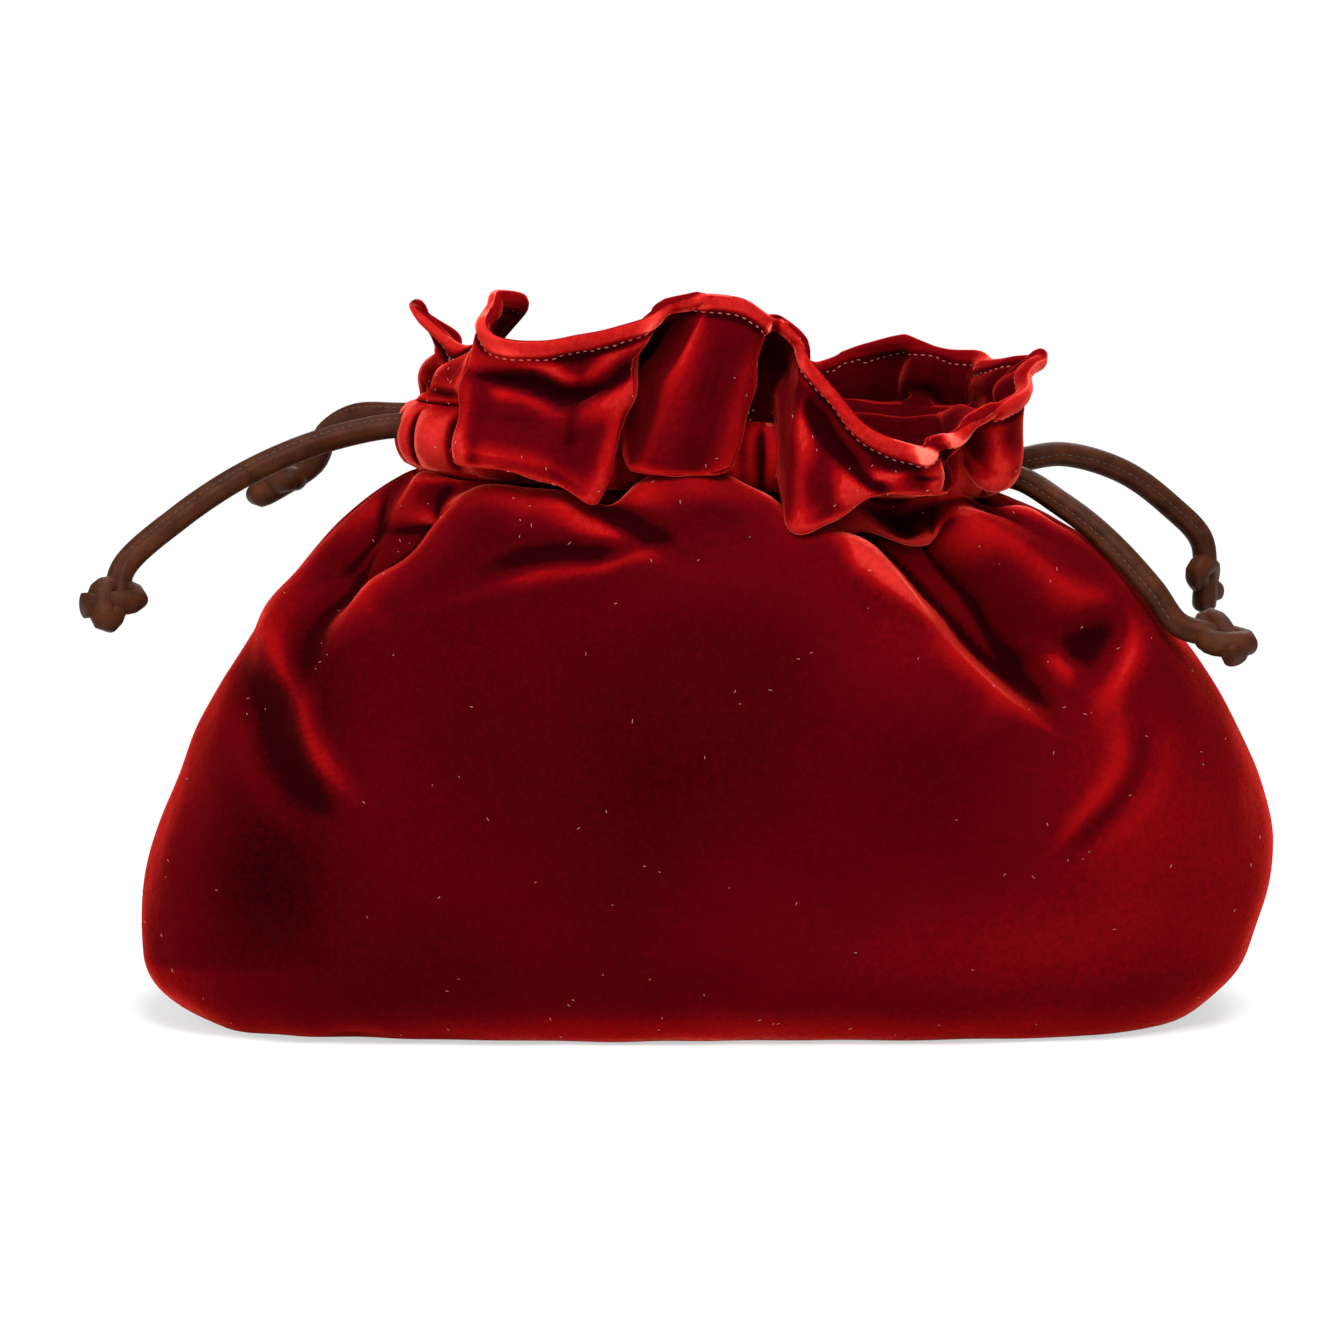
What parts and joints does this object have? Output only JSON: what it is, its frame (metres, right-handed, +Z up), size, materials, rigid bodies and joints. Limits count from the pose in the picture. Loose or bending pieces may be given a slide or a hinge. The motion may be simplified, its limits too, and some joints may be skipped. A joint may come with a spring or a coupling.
{
  "type": "drawstring clutch bag",
  "caption": "Soft gathered pouch bag with a flat base, a stitched casing round the neck, a flared frill above it, and knotted leather drawcords that leave the casing at both sides.",
  "frame": {"origin": "middle of the flat base, on the surface that the bag stands on", "axes": "+X to the right side seam as the front is seen, +Y away from the viewer, so the front panel faces -Y, +Z up to the frill"},
  "size_m": [0.3092, 0.1182, 0.1878],
  "materials": {
    "velvet": "deep red velvet pile",
    "lining": "dark red satin",
    "cord": "rounded brown leather cord with a stitched seam"
  },
  "bodies": {
    "root": {"front_panel": "velvet", "back_panel": "velvet", "lining": "lining", "left_drawcord": "cord", "right_drawcord": "cord"}
  },
  "joints": []
}
